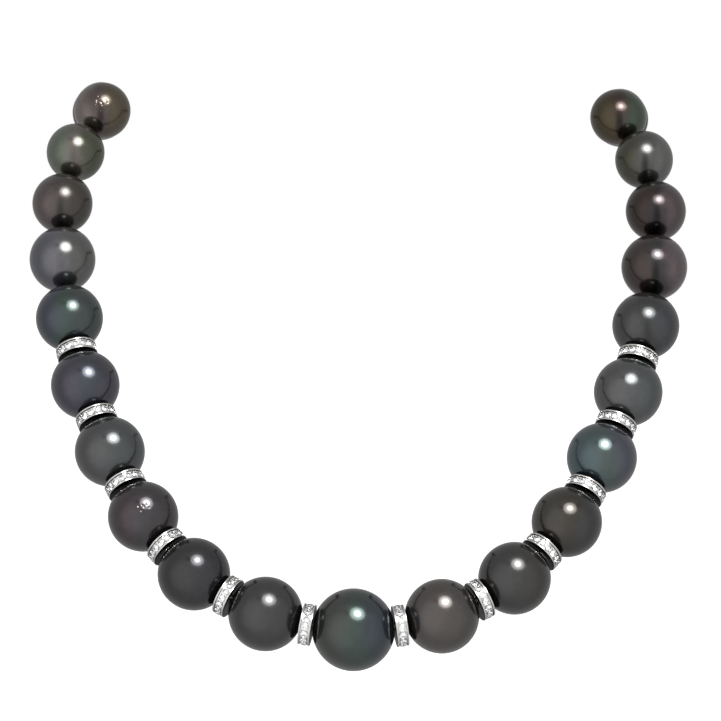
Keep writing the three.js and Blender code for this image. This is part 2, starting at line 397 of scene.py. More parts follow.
def silk_fibre(name):
    material, tree, shader = new_material(name)
    strands = noise_node(tree, object_coordinates(tree), 4200, 5.0, 0.7)
    stops = [(0.3, (0.012, 0.013, 0.015)), (0.7, (0.03, 0.032, 0.036))]
    tree.links.new(ramp(tree, strands, stops), shader.inputs["Base Color"])
    shader.inputs["Roughness"].default_value = 0.7
    shader.inputs["Sheen Weight"].default_value = 0.35
    shader.inputs["Sheen Roughness"].default_value = 0.4
    bump(tree, shader, strands, 0.4, 0.00005)
    return material


# Overtones as three tints of the surface's reflection, from the -X side over the middle to the +X side. Factors
# well above one on one side, in the tints from rosewood on, are painted reflection: they brighten the outer side
# of the shoulder pearls beyond their overtone.
TINTS_AND_PAINTED_REFLECTION = {
    "charcoal": ((1.0, 1.0, 1.0), (1.0, 1.0, 1.01), (1.0, 1.0, 1.02)),
    "graphite": ((1.03, 0.99, 1.0), (1.0, 1.0, 1.0), (0.97, 0.98, 1.1)),
    "ash": ((1.05, 0.99, 0.97), (1.01, 0.99, 0.98), (1.04, 1.0, 0.95)),
    "peacock": ((0.98, 1.06, 0.96), (0.82, 1.15, 1.02), (0.82, 1.0, 1.2)),
    "aubergine": ((1.16, 0.9, 1.0), (1.02, 0.96, 1.04), (1.08, 0.94, 1.0)),
    "slate": ((1.02, 1.0, 0.99), (0.97, 1.01, 1.03), (0.93, 1.02, 1.06)),
    "violet": ((1.0, 0.92, 1.22), (0.78, 0.9, 1.1), (0.95, 0.92, 1.18)),
    "teal": ((0.9, 1.0, 1.34), (0.76, 1.14, 0.98), (0.88, 1.04, 1.08)),
    "lagoon": ((0.8, 1.16, 1.26), (0.8, 1.1, 1.02), (0.9, 0.94, 1.2)),
    "lavender": ((0.96, 0.98, 1.14), (1.2, 1.14, 1.28), (1.0, 1.02, 0.98)),
    "bronze": ((1.1, 0.97, 0.93), (1.1, 0.98, 0.92), (1.06, 0.98, 0.94)),
    "olive": ((1.14, 1.04, 0.9), (0.96, 0.86, 0.72), (1.04, 1.0, 1.02)),
    "storm": ((1.15, 1.12, 1.12), (0.8, 0.83, 0.81), (1.0, 1.08, 1.18)),
    # Painted reflection as well as overtone: these tints brighten one side of a shoulder pearl far above its
    # colour.
    "rosewood": ((1.6, 1.2, 1.2), (0.98, 0.86, 0.82), (0.84, 0.75, 0.64)),
    "moss": ((1.26, 1.46, 1.12), (1.4, 1.24, 1.1), (0.72, 0.8, 0.52)),
    "sunset": ((2.4, 2.0, 1.85), (1.0, 0.76, 0.7), (1.15, 0.94, 0.6)),
    "plum": ((0.85, 0.62, 0.58), (0.62, 0.55, 0.58), (2.1, 1.62, 1.72)),
    "umber": ((0.95, 0.6, 0.5), (0.62, 0.46, 0.52), (2.5, 1.9, 2.0)),
    "lichen": ((0.82, 0.78, 0.52), (1.0, 1.02, 0.96), (1.8, 1.86, 1.78)),
    "copper": ((1.35, 1.0, 0.5), (1.05, 0.58, 0.5), (1.35, 1.85, 1.3)),
}
# The overtone of the pearls behind, by material slot, and how bright their surface is.
HIDDEN_TINT = {"nacre_green": "peacock", "nacre_blue": "teal", "nacre_brown": "bronze", "nacre_grey": "slate"}
HIDDEN_LIFT = 0.06
# The overtone and brightness of each pearl in sight, and of the two that show beside them; those two, the pearls
# 11, are kept nearly black as painted shade behind pearls 10.
OVERTONES_AND_PAINTED_SHADE = {
    "centre_pearl": ("peacock", 0.056),
    "right_pearl_1": ("charcoal", 0.05), "left_pearl_1": ("bronze", 0.071),
    "right_pearl_2": ("graphite", 0.036), "left_pearl_2": ("ash", 0.048),
    "right_pearl_3": ("aubergine", 0.049), "left_pearl_3": ("olive", 0.045),
    "right_pearl_4": ("slate", 0.075), "left_pearl_4": ("lagoon", 0.082),
    "right_pearl_5": ("violet", 0.059), "left_pearl_5": ("slate", 0.084),
    "right_pearl_6": ("teal", 0.057), "left_pearl_6": ("storm", 0.051),
    "right_pearl_7": ("lavender", 0.098), "left_pearl_7": ("plum", 0.054),
    "right_pearl_8": ("rosewood", 0.062), "left_pearl_8": ("umber", 0.033),
    "right_pearl_9": ("moss", 0.09), "left_pearl_9": ("lichen", 0.062),
    "right_pearl_10": ("sunset", 0.07), "left_pearl_10": ("copper", 0.038),
    # Painted shade: the near-black brightness of pearls 11.
    "right_pearl_11": ("charcoal", 0.012), "left_pearl_11": ("charcoal", 0.012),
}
# How much a painted dark reflection darkens the middle of a pearl's front.
PAINTED_REFLECTION_STREAKS = {
    "left_pearl_6": 0.35,
    "right_pearl_7": 0.15, "left_pearl_7": 0.85,
    "right_pearl_8": 0.55, "left_pearl_8": 0.95,
    "right_pearl_9": 0.2, "left_pearl_9": 0.7,
    "right_pearl_10": 0.7, "left_pearl_10": 0.8,
}
SMALL_PEARL = 6.2 * MM  # pearls of less than this radius have a softer highlight
SMALL_SOFTNESS = 0.035

gold = polished_gold("white_gold", (0.7, 0.685, 0.66), (0.12, 0.24))
# Painted shade: near-black gold on the rondelles' faces towards the pearls, for the shade and dark reflection
# between ring and pearl.
shade_painted_gold = polished_gold("painted_shade_gold", (0.02, 0.02, 0.021), (0.3, 0.42), 7)
clasp_gold = polished_gold("clasp_white_gold", (0.72, 0.71, 0.685), (0.09, 0.2), 3)
wire_gold = polished_gold("wire_white_gold", (0.8, 0.79, 0.76), (0.16, 0.3), 5)
brilliant = brilliant_glass("brilliant")
silk = silk_fibre("silk_fibre")


# ---- Pearls ----
HOLE = 0.55 * MM


def facing(across, up):
    """The direction of a place on a pearl's front, across and up by shares of the radius."""
    return np.array([across, -math.sqrt(1 - across ** 2 - up ** 2), up])


def scatter(count, across, up, reach, size, depth, seed):
    """Small pits scattered round a place on a pearl's front, as (direction, radius, depth)."""
    draw = np.random.RandomState(seed)
    spots = draw.normal(0, 0.5, (count, 2)) * reach + (across, up)
    sizes = draw.uniform(0.6, 1.2, count) * size
    return [(facing(*spot), r * MM, depth * MM) for spot, r in zip(spots, sizes)]


def scratch(start, end, count, size, depth):
    """A row of shallow pits that run together."""
    spots = [np.array(start) + (np.array(end) - start) * t for t in np.linspace(0, 1, count)]
    return [(facing(*spot), size * MM, depth * MM) for spot in spots]


# Pits and scratches: places as shares of the radius, sizes and depths in mm.
MARKS = {
    "right_pearl_10": scatter(22, -0.02, 0.24, (0.22, 0.34), 0.17, 0.065, 4),
    "right_pearl_3": scatter(9, 0.0, 0.38, (0.24, 0.16), 0.18, 0.06, 7),
    "right_pearl_4": scratch((0.3, 0.08), (0.62, -0.16), 9, 0.16, 0.018),
    "right_pearl_6": scatter(3, 0.35, -0.3, (0.2, 0.1), 0.2, 0.03, 2),
    "right_pearl_5": (scatter(5, -0.05, 0.1, (0.06, 0.12), 0.16, 0.035, 5)
                      + scatter(2, -0.7, 0.28, (0.03, 0.03), 0.2, 0.03, 8)),
    "right_pearl_9": scratch((0.62, -0.55), (0.75, -0.42), 4, 0.18, 0.025),
    "left_pearl_6": scatter(2, 0.62, -0.12, (0.06, 0.06), 0.2, 0.03, 9),
    "left_pearl_5": scatter(3, 0.86, 0.1, (0.04, 0.2), 0.22, 0.035, 3),
    "left_pearl_2": scatter(2, 0.1, -0.4, (0.2, 0.1), 0.14, 0.02, 6),
}
# Sides and rows of a pearl's mesh, by how many marks it has.
PLAIN, FINE, FINEST = (96, 64), (288, 200), (400, 235)
MANY_MARKS = 9
UNEVENNESS = 0.0016  # how far a pearl's skin strays from a ball, as a share of its radius


def skin_wave(directions, seed):
    """A slow, uneven wave over the directions from a pearl's centre."""
    slow, quick = Vector((seed * 3.1, seed * 1.7, seed)), Vector((seed, seed * 2.3, 0))
    return np.array([noise.noise(Vector(d * 1.7) + slow) + 0.35 * noise.noise(Vector(d * 4.3) + quick)
                     for d in directions])


def drilled_pearl(centre, radius, inward, outward, marks, seed):
    """A round pearl as one closed skin, drilled from the direction inward to the direction outward. The hole
    bends in the middle, and the skin's rings lean towards its two mouths."""
    sides, rows = PLAIN if not marks else FINE if len(marks) < MANY_MARKS else FINEST
    axis = unit(inward - outward)
    bend = math.acos(max(-1.0, min(1.0, float(axis @ inward))))
    pivot = np.cross(axis, inward)
    pivot = unit(pivot) if np.linalg.norm(pivot) > 1e-6 else cross_frame(axis)[0]
    circle = circle_about(axis, sides)
    rings = []
    mouth = math.asin((HOLE + 0.1 * MM) / radius)
    for phi in np.linspace(mouth, math.pi - mouth, rows):
        ring = circle * (radius * math.sin(phi)) + axis * (radius * math.cos(phi))
        ring = turned(ring, pivot, bend * math.cos(phi))
        sink = np.zeros(sides)
        for where, size, depth in marks:
            away = np.linalg.norm(ring - where * radius, axis=1)
            sink += depth * np.exp(-(away / size) ** 2)
        rings.append(ring * (1 + UNEVENNESS * skin_wave(ring / radius, seed) - sink / radius)[:, None])
    edge = radius * math.cos(mouth)
    mouth_rings = [(edge - 0.04 * MM, HOLE + 0.04 * MM), (edge - 0.16 * MM, HOLE)]
    bore_rings = mouth_rings + [(edge * share, HOLE) for share in (0.8, 0.5, 0.2)]
    for along, bore in [(-s, r) for s, r in bore_rings] + bore_rings[::-1]:
        leg = inward * along if along > 0 else outward * -along
        rings.append(turned(circle * bore, pivot, bend * along / edge) + leg)
    build = Build()
    build.grid(np.array(rings) + centre, loop_rows=True)
    return build


def add_pearl(node_name, body, centre, radius, inward, outward, seed):
    slot = SLOTS[node_name]
    tint, lift = OVERTONES_AND_PAINTED_SHADE.get(node_name, (HIDDEN_TINT[slot], HIDDEN_LIFT))
    soft = SMALL_SOFTNESS if radius < SMALL_PEARL else 0.0
    look = nacre(f"nacre_{node_name}", TINTS_AND_PAINTED_REFLECTION[tint], lift, seed, radius, PAINTED_REFLECTION_STREAKS.get(node_name, 0.0), soft)
    build = drilled_pearl(centre, radius, inward, outward, MARKS.get(node_name, []), seed)
    pearl = build.piece(f"{node_name}_nacre", [look], centre)
    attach(pearl, body)
    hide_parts(node_name)


centre, radius = strand["left"][0]
add_pearl("centre_pearl", "centre", centre, radius, unit(strand["right"][1][0] - centre),
          unit(strand["left"][1][0] - centre), 1)
for side in SIDES:
    for i in range(1, LAST_PEARL + 1):
        centre, radius = strand[side][i]
        inward = unit(strand[side][i - 1][0] - centre)
        outward = unit(strand[side][i + 1][0] - centre) if i < LAST_PEARL else run_out(side)
        add_pearl(f"{side}_pearl_{i}", f"{side}_pearl_{i}", centre, radius, inward, outward,
                  i * 2 + (side == "right"))


# ---- Silk, twisted from three plies, with a knot in every gap ----
SILK = 0.24 * MM
SILK_STEP = 0.22 * MM
TWIST_LENGTH = 1.6 * MM
KNOT = 0.4 * MM  # size of the closed path that the knot's ply follows
KNOT_PLY = 0.17 * MM
KNOT_FLATNESS = 0.341
SILK_START = 0.05 * MM  # from a pearl's centre to the end of the silk in it


def ply_section():
    """The outline of three plies side by side."""
    angles = full_turn(18)
    radii = SILK * (0.84 + 0.16 * np.cos(3 * angles))
    return np.stack([np.cos(angles), np.sin(angles)], 1) * radii[:, None]


def silk_rings(points):
    """Twisted silk along straight legs between points."""
    path = []
    for a, b in zip(points, points[1:]):
        steps = max(2, round(np.linalg.norm(b - a) / SILK_STEP))
        path += [a + (b - a) * t for t in np.arange(steps) / steps]
    path.append(points[-1])
    path = np.array(path)
    length = np.linalg.norm(np.diff(path, axis=0), axis=1).sum()
    return rings_along(path, ply_section(), twist=length / TWIST_LENGTH * 2 * math.pi)


def knot_rings(at, axis, size=1.0):
    """An overhand knot pulled tight, as a closed cord around the strand's axis."""
    e1, e2 = cross_frame(axis)
    t = full_turn(60)
    reach = (0.62 + 0.3 * np.cos(3 * t)) * KNOT * size
    path = at + (reach * np.cos(2 * t))[:, None] * e1 + (reach * np.sin(2 * t))[:, None] * e2
    path = path + (np.sin(3 * t) * KNOT * size * KNOT_FLATNESS)[:, None] * axis
    return rings_along(path, round_section(KNOT_PLY * size, 8), closed=True)


for side in SIDES:
    for i in range(1, LAST_PEARL + 1):
        near, far = strand[side][i - 1][0], strand[side][i][0]
        knot = knot_at(side, i)
        axis = unit(far - near)
        build = Build()
        build.grid(silk_rings([near + axis * SILK_START, knot, far - axis * SILK_START]))
        build.grid(knot_rings(knot, axis), loop_rows=True)
        cord = build.piece(f"{side}_silk_{i}", [silk])
        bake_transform(cord)
        if i == 1:
            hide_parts(f"{side}_silk")


# ---- The wire loops at the ends, of fine coiled wire over the silk ----
LOOP_RADIUS = 1.25 * MM
LOOP_WIRE = 0.35 * MM
STANDOFF = 0.3 * MM  # from the last pearl to the loop
LOOP_MIDDLE = STANDOFF + LOOP_WIRE + LOOP_RADIUS
COIL_WIRE = 0.085 * MM
COIL_TURNS = 52
POINTS_A_TURN = 14
LOOP_CORE = 0.2 * MM
UP = np.array([0.0, 0.0, 1.0])


def add_wire_loop(side):
    last, radius = strand[side][LAST_PEARL]
    run = run_out(side)
    across = unit(np.cross(run, UP))
    pole = last + run * radius
    middle = pole + run * LOOP_MIDDLE
    t = full_turn(COIL_TURNS * POINTS_A_TURN)
    out = -np.cos(t)[:, None] * run + np.sin(t)[:, None] * across
    coil = LOOP_WIRE - COIL_WIRE
    path = middle + out * (LOOP_RADIUS + coil * np.cos(COIL_TURNS * t))[:, None]
    path = path + (coil * np.sin(COIL_TURNS * t))[:, None] * UP
    build = Build()
    build.grid(rings_along(path, round_section(COIL_WIRE, 6), closed=True), loop_rows=True)
    loop = build.piece(f"{side}_coiled_wire", [wire_gold])
    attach(loop, f"{side}_pearl_{LAST_PEARL}")
    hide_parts(f"{side}_wire_loop")
    build = Build()
    core = middle + out[::12] * LOOP_RADIUS
    build.grid(rings_along(core, round_section(LOOP_CORE, 8), closed=True), loop_rows=True)
    build.grid(silk_rings([last + run * SILK_START, pole + run * 0.42 * MM]))
    build.grid(knot_rings(pole + run * 0.12 * MM, run, 0.95), loop_rows=True)
    end = build.piece(f"{side}_silk_end", [silk])
    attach(end, f"{side}_pearl_{LAST_PEARL}")


for side in SIDES:
    add_wire_loop(side)


# ---- Rondelles: a grooved ring with two raised rims, sixteen brilliants and small beads between them ----
STONES = 16
COLUMNS_A_STONE = 12
RING = 3.9 * MM
RING_HALF = 1.1 * MM
GROOVE = 3.6 * MM
STONE = 0.68 * MM  # radius of a stone at its girdle
GIRDLE = 3.73 * MM
SEAT = STONE * 1.04
SEAT_EDGE = GIRDLE - 0.06 * MM
SEAT_SLOPE = 0.95
BEAD = 0.13 * MM
BEAD_HEIGHT = GROOVE + 0.17 * MM
BEAD_ROWS = (-0.47 * MM, 0.47 * MM)
STONE_LOOK, PAINTED_SHADE_LOOK = 1, 2  # places of these materials on a rondelle; the second is painted shade on the faces that meet the pearls
FLAT_OCTAGON = math.cos(math.pi / 8)
# Rows of a brilliant from its table to its culet, as shares of its radius: reach, height, and how far the
# corners between the eight main ones reach in comparison.
BRILLIANT_ROWS = ((0.55, 0.3, 0.93), (0.8, 0.17, FLAT_OCTAGON), (1.0, 0.03, 1.0), (1.0, -0.02, 1.0),
                  (0.52, -0.42, 0.93), (0.05, -0.8, FLAT_OCTAGON))


def brilliant_rings(at, out, along, spin):
    """A round brilliant: table, crown, girdle and pavilion, its table facing out."""
    side_way = np.cross(out, along)
    rings = []
    for reach, height, between in BRILLIANT_ROWS:
        ring = []
        for k, a in enumerate(full_turn(16) + spin):
            r = reach * between if k % 2 else reach
            ring.append(at + (out * height + (along * math.cos(a) + side_way * math.sin(a)) * r) * STONE)
        rings.append(ring)
    return np.array(rings)


def small_ball(at, radius, out):
    """A bead whose rings go round the direction out."""
    circle = circle_about(out, 8)
    turn = np.linspace(0.25, math.pi - 0.25, 5)
    return np.array([at + circle * radius * math.sin(phi) + out * radius * math.cos(phi) for phi in turn])


def is_face(low, high):
    """True for the part of the ring's section that faces a pearl."""
    return abs(low[0]) > 0.7 * MM and abs(high[0]) > 0.7 * MM and max(low[1], high[1]) <= RING - 0.07 * MM


def ring_profile():
    """(along, radius) round the ring's section: the groove, one rim, its face and bore, and the same back."""
    h, mm = RING_HALF, MM
    floor = [(x * mm, GROOVE) for x in np.linspace(-0.78, 0.78, 15)]
    rim = [(0.8 * mm, RING - 0.1 * mm), (0.83 * mm, RING - 0.02 * mm), (0.88 * mm, RING),
           (h - 0.06 * mm, RING), (h - 0.015 * mm, RING - 0.02 * mm), (h, RING - 0.07 * mm)]
    face = [(h, 3.3 * mm), (h - 0.02 * mm, 3.05 * mm), (h - 0.14 * mm, 2.3 * mm), (0.82 * mm, 1.3 * mm),
            (0.76 * mm, 1.21 * mm), (0.4 * mm, 1.2 * mm)]
    upper = rim + face
    return floor + upper + [(-x, r) for x, r in upper[::-1]]


def seat_reach(off, along):
    """The radius of the groove's floor beside the middle of a stone, where a cone is sunk for the stone."""
    away = math.hypot(off, along)
    return min(GROOVE, SEAT_EDGE - (SEAT - away) * SEAT_SLOPE) if away < SEAT else GROOVE


def add_rondelle(side, i):
    node_name = f"{side}_rondelle_{i}"
    joint = JOINTS[f"{node_name}_spin"]
    centre = np.array(joint["pos_m"], float)
    axis = unit(joint["axis"])
    e1, e2 = cross_frame(axis)
    profile = ring_profile()
    columns = STONES * COLUMNS_A_STONE
    half = COLUMNS_A_STONE / 2
    rings = []
    for x, r in profile:
        ring = []
        for k, a in enumerate(full_turn(columns)):
            off = ((k + half) % COLUMNS_A_STONE - half) / columns * 2 * math.pi * GIRDLE
            reach = seat_reach(off, x) if r == GROOVE else r
            ring.append(centre + axis * x + (e1 * math.cos(a) + e2 * math.sin(a)) * reach)
        rings.append(ring)
    build = Build()
    build.grid(np.array(rings), loop_rows=True)
    closed = profile + profile[:1]
    for row, pair in enumerate(zip(closed, closed[1:])):
        # The faces towards the pearls get the painted shade.
        if is_face(*pair):
            build.looks[row * columns:(row + 1) * columns] = [PAINTED_SHADE_LOOK] * columns
    for k, a in enumerate(full_turn(STONES)):
        out = e1 * math.cos(a) + e2 * math.sin(a)
        spin = 0.2 * ((k * 7 + i * 3) % 5)
        build.grid(brilliant_rings(centre + out * GIRDLE, out, axis, spin), look=STONE_LOOK)
        b = a + math.pi / STONES
        out = e1 * math.cos(b) + e2 * math.sin(b)
        for row in BEAD_ROWS:
            build.grid(small_ball(centre + out * BEAD_HEIGHT + axis * row, BEAD, out))
    ring = build.piece(f"{node_name}_jewelled", [gold, brilliant, shade_painted_gold], centre, smooth_angle=28)
    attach(ring, node_name)
    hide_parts(node_name)


for side in SIDES:
    for i in range(1, RONDELLES + 1):
        add_rondelle(side, i)


# ---- The ball clasp, in its own millimetres: +X points into the ball, and 0 is the ball's flat face ----
AXIS = 0.02  # the radius at which a turned profile ends on its axis
BALL = 4.6
BALL_CENTRE = 3.9
CAVITY = 3.8
BALL_WALL = 0.8
BALL_GROOVES = (3.35, 4.45)
BALL_GROOVE_SIZE = 0.09  # depth, and half width
FACE_BEADS = 30
FACE_BEAD = 0.14
FACE_BEADS_AT, FACE_BEADS_REACH = 0.22, 2.78  # along the axis, and away from it
NOTCH_GAP = 0.36  # no beads within this cosine of the thumb notch's direction
EYELET = 1.25
EYELET_WIRE = 0.42
BALL_EYELET_AT = 9.65
CAP_EYELET_AT = -3.6
FOLD_AT = 6.3
FOLD_HEIGHT = -0.2
FOLD_HANDLE = 0.53  # how far the bend's curve is pulled out beyond the leaves
LEAF_END = 5.78  # where the two flat leaves run into the bend
LEAF_MIDDLE = 0.35  # from the fold's height to the middle of a leaf
LEAF_WIDTH = 1.5
LEAF_LIFT = math.radians(12.8)


def clasp_place(side, eyelet_at, inward):
    """A function that takes points of a clasp half's own frame to the row frame."""
    last, radius = strand[side][LAST_PEARL]
    run = run_out(side)
    eyelet = last + run * (radius + LOOP_MIDDLE + EYELET * MM)
    x = run * inward
    axes = np.stack([x, np.cross(UP, x), UP])
    origin = eyelet - x * eyelet_at * MM
    return lambda points: origin + (np.asarray(points, float) * MM) @ axes


def mesh_object(points, faces):
    """A temporary object for a Boolean cut."""
    mesh = bpy.data.meshes.new("cutter")
    mesh.from_pydata(np.asarray(points, float).reshape(-1, 3).tolist(), [], faces)
    fix_winding(mesh)
    obj = bpy.data.objects.new("cutter", mesh)
    bpy.context.scene.collection.objects.link(obj)
    return obj


def turned_solid(profile, sides):
    return mesh_object(turned_rings(profile, sides), capped_faces(len(profile), sides))


def box_solid(low, high):
    xs, ys, zs = zip(low, high)
    corners = [(x, y, z) for x in xs for y in ys for z in zs]
    faces = [(0, 1, 3, 2), (4, 6, 7, 5), (0, 4, 5, 1), (2, 3, 7, 6), (0, 2, 6, 4), (1, 5, 7, 3)]
    return mesh_object(corners, faces)


def carved(solid, cutters):
    """Points and faces of a solid without its cutters. All of the temporary objects are removed."""
    for cutter in cutters:
        cut = solid.modifiers.new("cut", "BOOLEAN")
        cut.operation = "DIFFERENCE"
        cut.solver = "EXACT"
        cut.object = cutter
    bpy.context.view_layer.update()
    evaluated = solid.evaluated_get(bpy.context.evaluated_depsgraph_get())
    mesh = evaluated.to_mesh()
    points = [tuple(v.co) for v in mesh.vertices]
    faces = [tuple(p.vertices) for p in mesh.polygons]
    evaluated.to_mesh_clear()
    for obj in [solid, *cutters]:
        bpy.data.objects.remove(obj)
    return points, faces


def bevelled_plate(outline, low, high, bevel):
    """A flat plate from an outline in x and y, with its edges rounded."""
    bm = bmesh.new()
    bottom = [bm.verts.new((x, y, low)) for x, y in outline]
    face = bm.faces.new(bottom)
    made = bmesh.ops.extrude_face_region(bm, geom=[face])
    moved = [v for v in made["geom"] if isinstance(v, bmesh.types.BMVert)]
    bmesh.ops.translate(bm, verts=moved, vec=(0, 0, high - low))
    bmesh.ops.recalc_face_normals(bm, faces=bm.faces)
    bmesh.ops.bevel(bm, geom=bm.edges[:], offset=bevel, segments=2, affect="EDGES", profile=0.5)
    bm.verts.ensure_lookup_table()
    points = np.array([tuple(v.co) for v in bm.verts])
    faces = [tuple(v.index for v in f.verts) for f in bm.faces]
    bm.free()
    return points, faces


def eyelet_rings(at):
    """An upright wire eyelet, around Y."""
    t = full_turn(40)
    path = np.stack([at + EYELET * np.cos(t), np.zeros(40), EYELET * np.sin(t)], 1)
    return rings_along(path, round_section(EYELET_WIRE, 14), closed=True)


def ball_profile(radius, start, steps):
    """(along, radius) pairs of a ball about BALL_CENTRE, from a place along its axis to its far pole."""
    angles = np.linspace(math.acos((BALL_CENTRE - start) / radius), math.pi, steps)
    return [(BALL_CENTRE - radius * math.cos(a), max(radius * math.sin(a), AXIS)) for a in angles]


def add_clasp_piece(build, name, place):
    """A clasp piece, taken from its half's frame to the row frame."""
    build.points = [place(p) for p in build.points]
    middle = np.concatenate(build.points).mean(0)
    return build.piece(name, [clasp_gold], middle, smooth_angle=32)


def ball_shell():
    """The hollow ball with its slot and thumb notch, the beads on its face, its collar and its eyelet."""
    rim = math.sqrt(BALL ** 2 - BALL_CENTRE ** 2)
    profile = [(0.0, AXIS), (0.0, rim - 0.12), (0.04, rim - 0.03)]
    for x, r in ball_profile(BALL, 0.18, 40):
        in_groove = min(abs(x - groove) for groove in BALL_GROOVES) < BALL_GROOVE_SIZE
        profile.append((x, r - BALL_GROOVE_SIZE if in_groove else r))
    cavity = turned_solid(ball_profile(CAVITY, BALL_WALL, 28), 64)
    slot_cut = box_solid((-1, -1.9, -0.95), (BALL_WALL + 1, 1.9, 0.95))
    notch_cut = box_solid((-1, -0.8, 0), (BALL_WALL + 0.3, 0.8, 8))
    build = Build()
    build.add(*carved(turned_solid(profile, 96), [cavity, slot_cut, notch_cut]))
    build.grid(eyelet_rings(BALL_EYELET_AT), loop_rows=True)
    collar = [(8.15, 0.9), (8.3, 1.3), (8.5, 1.32), (8.62, 1.1), (8.7, 0.6)]
    build.grid(turned_rings(collar, 40))
    for a in full_turn(FACE_BEADS) + math.pi / FACE_BEADS:
        y, z = math.cos(a), math.sin(a)
        if abs(y) < NOTCH_GAP and z > 0:
            continue
        at = np.array([FACE_BEADS_AT, y * FACE_BEADS_REACH, z * FACE_BEADS_REACH])
        build.grid(small_ball(at, FACE_BEAD, unit((-0.5, y, z))))
    return build


def cap():
    """The end cap with its pocket, the lower leaf, its collar and its eyelet."""
    profile = [(-2.3, AXIS), (-2.3, 1.0), (-2.26, 1.25), (-2.1, 1.75), (-1.9, 2.2), (-1.6, 2.5),
               (-1.25, 2.66), (-0.95, 2.7), (-0.9, 2.62), (-0.8, 2.62), (-0.75, 2.7), (-0.38, 2.7),
               (-0.3, 2.62), (-0.3, AXIS)]
    pocket = box_solid((-1.75, -1.1, -0.1), (0.2, 1.1, 5.4))
    build = Build()
    build.add(*carved(turned_solid(profile, 72), [pocket]))
    start, w = -0.5, LEAF_WIDTH
    leaf = [(start, -w), (LEAF_END, -w), (LEAF_END, w), (start, w)]
    build.add(*bevelled_plate(leaf, FOLD_HEIGHT - 0.55, FOLD_HEIGHT - 0.15, 0.06))
    build.grid(eyelet_rings(CAP_EYELET_AT), loop_rows=True)
    collar = [(-2.62, 0.5), (-2.55, 1.0), (-2.42, 1.2), (-2.28, 1.2), (-2.2, 0.9)]
    build.grid(turned_rings(collar, 40))
    return build


def lifted(points):
    """Points of the flat upper leaf, swung up about the fold."""
    points = np.asarray(points, float).reshape(-1, 3)
    x, z = points[:, 0] - FOLD_AT, points[:, 2] - FOLD_HEIGHT
    c, s = math.cos(LEAF_LIFT), math.sin(LEAF_LIFT)
    return np.stack([FOLD_AT + x * c + z * s, points[:, 1], FOLD_HEIGHT - x * s + z * c], 1)


def fold_band():
    """The bend of spring sheet between the two leaves, as a Bezier curve from the lower to the upper one."""
    start = LEAF_END - 0.03
    low = np.array([start, 0.0, FOLD_HEIGHT - LEAF_MIDDLE])
    upper = FOLD_HEIGHT + LEAF_MIDDLE
    high, beyond = lifted([(start, 0.0, upper), (start + 1.0, 0.0, upper)])
    t = np.linspace(0, 1, 22)[:, None]
    low_handle, high_handle = low + (FOLD_HANDLE, 0, 0), high + FOLD_HANDLE * unit(beyond - high)
    path = (low * (1 - t) ** 3 + 3 * low_handle * t * (1 - t) ** 2
            + 3 * high_handle * t ** 2 * (1 - t) + high * t ** 3)
    w, flat, thick, edge = LEAF_WIDTH, LEAF_WIDTH - 0.06, 0.19, 0.14
    section = [(w, -edge), (w, edge), (flat, thick), (-flat, thick), (-w, edge), (-w, -edge),
               (-flat, -thick), (flat, -thick)]
    build = Build()
    build.grid(rings_along(path, section))
    return build


def upper_leaf():
    """The upper leaf, with its narrow end in the cap's pocket and the thumb knob on it."""
    w, end = LEAF_WIDTH, -0.95
    outline = [(LEAF_END, -w), (LEAF_END, w), (1.25, w), (1.1, 1.35), (1.1, 0.6), (0.95, 0.45), (end, 0.45),
               (end, -0.45), (0.95, -0.45), (1.1, -0.6), (1.1, -1.35), (1.25, -w)]
    points, faces = bevelled_plate(outline, FOLD_HEIGHT + 0.15, FOLD_HEIGHT + 0.55, 0.05)
    build = Build()
    build.add(lifted(points), faces)
    knob = [(-0.3, AXIS), (-0.3, 0.5), (-0.26, 0.62), (-0.18, 0.69), (-0.08, 0.7), (-0.05, 0.64),
            (0.05, 0.64), (0.08, 0.7), (0.18, 0.69), (0.26, 0.62), (0.3, 0.5), (0.3, AXIS)]
    build.grid(turned_rings(knob, 36) + np.array([-0.8, 0, 2.2]))
    return build


to_ball = clasp_place("right", BALL_EYELET_AT, -1)
to_tongue = clasp_place("left", CAP_EYELET_AT, 1)
for build, name, body, node_name, place in (
        (ball_shell(), "clasp_ball_shell", "clasp_ball", "clasp_ball", to_ball),
        (cap(), "clasp_cap", "clasp_tongue", "tongue_base", to_tongue),
        (upper_leaf(), "clasp_upper_leaf", "tongue_leaf", "tongue_leaf", to_tongue)):
    piece = add_clasp_piece(build, name, place)
    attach(piece, body)
    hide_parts(node_name)
fold = add_clasp_piece(fold_band(), "clasp_fold", to_tongue)
fold_ends = to_tongue([(FOLD_AT, 0, FOLD_HEIGHT - LEAF_MIDDLE), (FOLD_AT, 0, FOLD_HEIGHT + LEAF_MIDDLE)])
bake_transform(fold)


# ---- Studio ----
LIT_POINT = Vector((0, -0.03, -0.05))
KEY = Vector((0.163, -0.631, 0.759)).normalized()  # up, towards the camera's side and a little to +X
# Name, distance, diameter and power: a small bright disc before two wider and weaker ones.
LIGHTS = (("key_light", 1.1, 0.2, 2.8), ("key_halo", 1.12, 0.42, 4.5), ("key_glow", 1.14, 0.8, 8.0))

for name, distance, diameter, power in LIGHTS:
    data = bpy.data.lights.new(name, "AREA")
    data.shape = "DISK"
    data.size = diameter
    data.energy = power
    light = bpy.data.objects.new(name, data)
    light.location = LIT_POINT + KEY * distance
    light.rotation_euler = (LIT_POINT - light.location).to_track_quat("-Z", "Y").to_euler()
    light.visible_camera = False
    bpy.context.scene.collection.objects.link(light)

world = bpy.data.worlds.new("studio")
bpy.context.scene.world = world
world.use_nodes = True
tree = world.node_tree
tree.nodes.clear()
direction = tree.nodes.new("ShaderNodeTexCoord").outputs["Generated"]
split = tree.nodes.new("ShaderNodeSeparateXYZ")
tree.links.new(direction, split.inputs[0])


